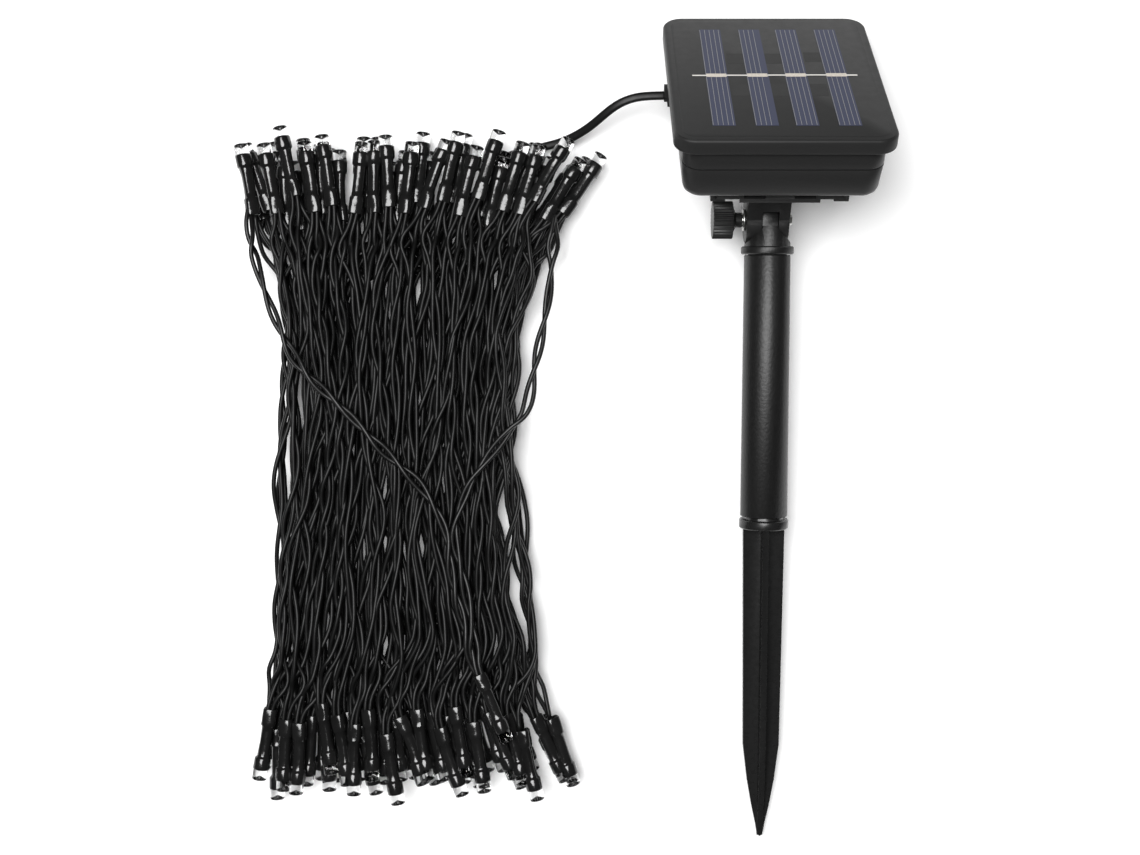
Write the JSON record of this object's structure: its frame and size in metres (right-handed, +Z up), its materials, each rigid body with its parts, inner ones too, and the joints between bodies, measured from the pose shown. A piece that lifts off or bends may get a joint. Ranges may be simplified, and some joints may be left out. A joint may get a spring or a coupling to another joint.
{
  "type": "solar string lights",
  "caption": "Solar string lights: square solar housing on a tilting ground stake, joined by a flat lead to a folded hank of twisted wire with clear-tipped lamps at both ends.",
  "frame": {"origin": "ground level, on the stake's axis, half way between the spike's point and the housing's far edge", "axes": "+Z up; +Y along the stake from the spike to the housing; +X to the right, away from the hank"},
  "size_m": [0.2567, 0.3399, 0.0889],
  "materials": {
    "case_plastic": "satin moulded black plastic",
    "face_grey": "smoke-grey laminated panel face",
    "cell_blue": "dark blue silicon under clear laminate",
    "tinned_copper": "tinned copper ribbon",
    "stake_plastic": "satin black plastic with a fine moulded speckle",
    "spike_plastic": "smooth black plastic, slightly glossy",
    "black_rubber": "matt black rubber",
    "zinc_steel": "zinc-plated steel",
    "board_green": "green solder mask",
    "battery_wrap": "shrink-wrapped rechargeable cell",
    "wire_black": "black PVC insulation, satin",
    "lamp_sleeve": "glossy black shrink sleeve with a clear lens at its end"
  },
  "bodies": {
    "housing": {"lid_frame": "case_plastic", "upper_case": "case_plastic", "lower_case": "case_plastic", "solar_backing": "face_grey", "solar_window": "face_grey", "boost_inductor": "face_grey", "cell_strip_1": "cell_blue", "cell_strip_2": "cell_blue", "cell_strip_3": "cell_blue", "cell_strip_4": "cell_blue", "bus_ribbon": "tinned_copper", "lid_gasket": "black_rubber", "cable_grommet": "black_rubber", "controller_chip": "black_rubber", "lead_splice": "black_rubber", "case_screw_1": "zinc_steel", "case_screw_2": "zinc_steel", "case_screw_3": "zinc_steel", "case_screw_4": "zinc_steel", "battery_contact_negative": "zinc_steel", "battery_contact_positive": "zinc_steel", "power_switch": "zinc_steel", "mode_switch": "zinc_steel", "circuit_board": "board_green", "battery": "battery_wrap", "string_hank": "wire_black", "lead_cable": "wire_black", "lead_hank": "wire_black", "crossing_lamp": "lamp_sleeve", "lamp_row_top_1": "lamp_sleeve", "lamp_row_top_2": "lamp_sleeve", "lamp_row_top_3": "lamp_sleeve", "lamp_row_bottom_1": "lamp_sleeve", "lamp_row_bottom_2": "lamp_sleeve", "lamp_row_bottom_3": "lamp_sleeve"},
    "bracket": {"bracket": "stake_plastic", "hex_nut": "zinc_steel"},
    "knob": {"knob": "stake_plastic", "clamp_bolt": "zinc_steel", "clamp_washer": "zinc_steel"},
    "stake_head": {"stake_head": "stake_plastic"},
    "tube": {"extension_tube": "stake_plastic"},
    "spike": {"ground_spike": "spike_plastic"},
    "power_button": {"power_button": "black_rubber"},
    "mode_button": {"mode_button": "black_rubber"}
  },
  "joints": [
    {"name": "bracket_slide", "type": "slide", "parent": "housing", "child": "bracket", "axis": [0, -0.6534, 0.757], "range_m": [0, 0.045]},
    {"name": "head_tilt", "type": "hinge", "parent": "bracket", "child": "stake_head", "pos_m": [0, 0.0848, 0.0306], "axis": [1, 0, 0], "range_deg": [-15, 84]},
    {"name": "knob_turn", "type": "hinge", "parent": "bracket", "child": "knob", "pos_m": [0, 0.0848, 0.0306], "axis": [1, 0, 0], "continuous": true},
    {"name": "tube_turn", "type": "hinge", "parent": "stake_head", "child": "tube", "pos_m": [0, 0.0848, 0.0306], "axis": [0, -0.9943, -0.1063], "continuous": true},
    {"name": "spike_pull", "type": "slide", "parent": "tube", "child": "spike", "axis": [0, -0.9943, -0.1063], "range_m": [0, 0.019]},
    {"name": "power_button_press", "type": "slide", "parent": "housing", "child": "power_button", "axis": [0, 0.757, 0.6534], "range_m": [0, 0.0008], "stiffness_N_per_m": 400},
    {"name": "mode_button_press", "type": "slide", "parent": "housing", "child": "mode_button", "axis": [0, 0.757, 0.6534], "range_m": [0, 0.0008], "stiffness_N_per_m": 400}
  ]
}
